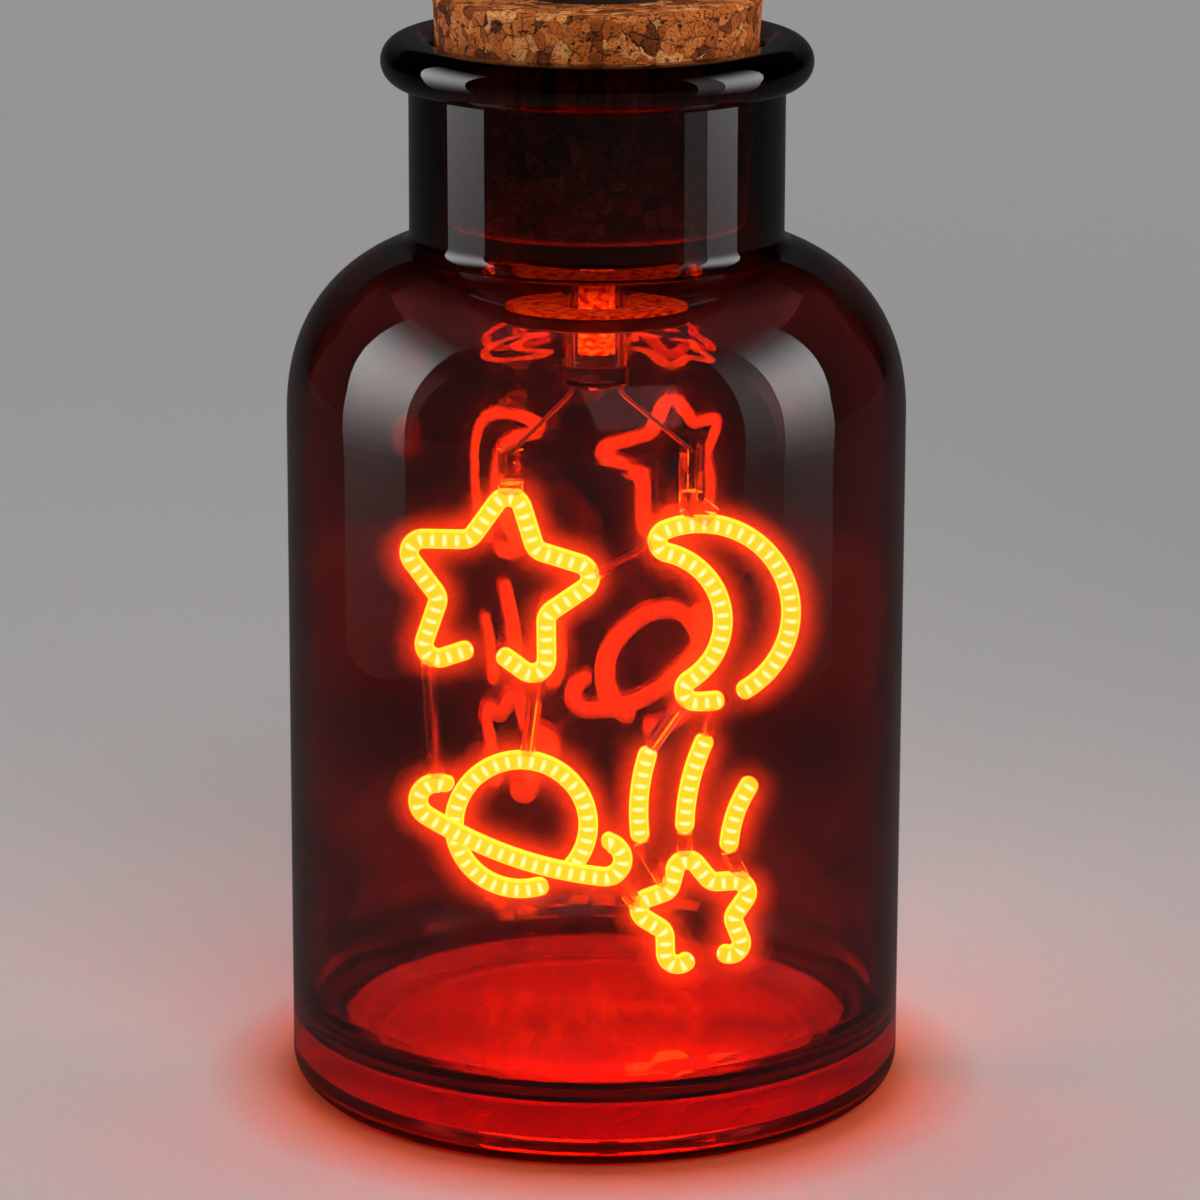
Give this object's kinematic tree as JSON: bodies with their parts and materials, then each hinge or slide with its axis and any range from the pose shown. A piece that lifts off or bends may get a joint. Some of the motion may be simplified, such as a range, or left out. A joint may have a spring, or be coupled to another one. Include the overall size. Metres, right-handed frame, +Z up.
{
  "type": "cork bottle light",
  "caption": "Wide-necked smoked glass bottle with a black-capped cork, from which a glowing tube sign of stars, a moon and a ringed planet hangs inside.",
  "frame": {"origin": "centre of the bottle's foot ring, on the surface that it stands on", "axes": "+Z up along the bottle's axis, the sign faces -Y, +X to the viewer's right"},
  "size_m": [0.11, 0.11, 0.2156],
  "materials": {
    "smoke_glass": "dark red-brown transparent glass, polished",
    "cork": "pressed cork granules, matte, with dark pits",
    "black_plastic": "glossy black",
    "button_plastic": "satin black",
    "clear_glass": "clear, polished",
    "lit_tube": "milky amber, lit from within by a row of dots",
    "lamp_glow": "milky amber, lit from within",
    "copper_wire": "bare dull copper",
    "link_wire": "thin bare copper",
    "electrode_metal": "dull metal",
    "red_insulation": "satin red",
    "black_insulation": "satin black",
    "nickel": "plated",
    "socket_steel": "plated steel",
    "board": "green board",
    "switch_plastic": "matte black",
    "led_white": "small white lamp body",
    "cell_wrap": "foil pouch",
    "foam": "soft foam",
    "pad_rubber": "soft translucent rubber"
  },
  "bodies": {
    "bottle": {"bottle": "smoke_glass"},
    "stopper": {"cork_stopper": "cork", "cap_base": "black_plastic", "cap_cover": "black_plastic", "usb_socket": "socket_steel", "stem_collar": "black_plastic", "stem_tube": "clear_glass", "riser_left": "clear_glass", "riser_right": "clear_glass", "filament_star": "lit_tube", "filament_moon": "lit_tube", "filament_planet": "lit_tube", "filament_ring": "lit_tube", "filament_comet": "lit_tube", "streak_left": "lit_tube", "streak_middle": "lit_tube", "streak_right": "lit_tube", "link_upper": "clear_glass", "link_left": "clear_glass", "link_planet": "clear_glass", "link_middle": "clear_glass", "link_right": "clear_glass", "link_lower": "clear_glass", "link_streak_left": "clear_glass", "link_streak_middle": "clear_glass", "link_streak_right": "clear_glass", "battery_foam": "foam", "battery_cell": "cell_wrap", "cell_tab_negative": "nickel", "cell_tab_positive": "nickel", "circuit_board": "board", "power_switch": "switch_plastic", "charge_led": "led_white", "status_lens": "clear_glass", "button_pad": "pad_rubber", "stem_lamp": "lamp_glow", "lead_wire_left": "copper_wire", "lead_wire_right": "copper_wire", "feed_wire_positive": "red_insulation", "feed_wire_negative": "black_insulation", "splice_sleeves": "nickel", "electrode_left": "electrode_metal", "electrode_right": "electrode_metal", "link_upper_wire": "link_wire", "link_left_wire": "link_wire", "link_planet_wire": "link_wire", "link_middle_wire": "link_wire", "link_right_wire": "link_wire", "link_lower_wire": "link_wire"},
    "button": {"power_button": "button_plastic"}
  },
  "joints": [
    {"name": "stopper_lift", "type": "slide", "parent": "bottle", "child": "stopper", "axis": [0, 0, 1], "range_m": [0, 0.045]},
    {"name": "button_press", "type": "slide", "parent": "stopper", "child": "button", "axis": [0, 0, -1], "range_m": [0, 0.0008], "stiffness_N_per_m": 1500, "springref_m": -0.0005, "deforming": ["button_pad"]}
  ]
}
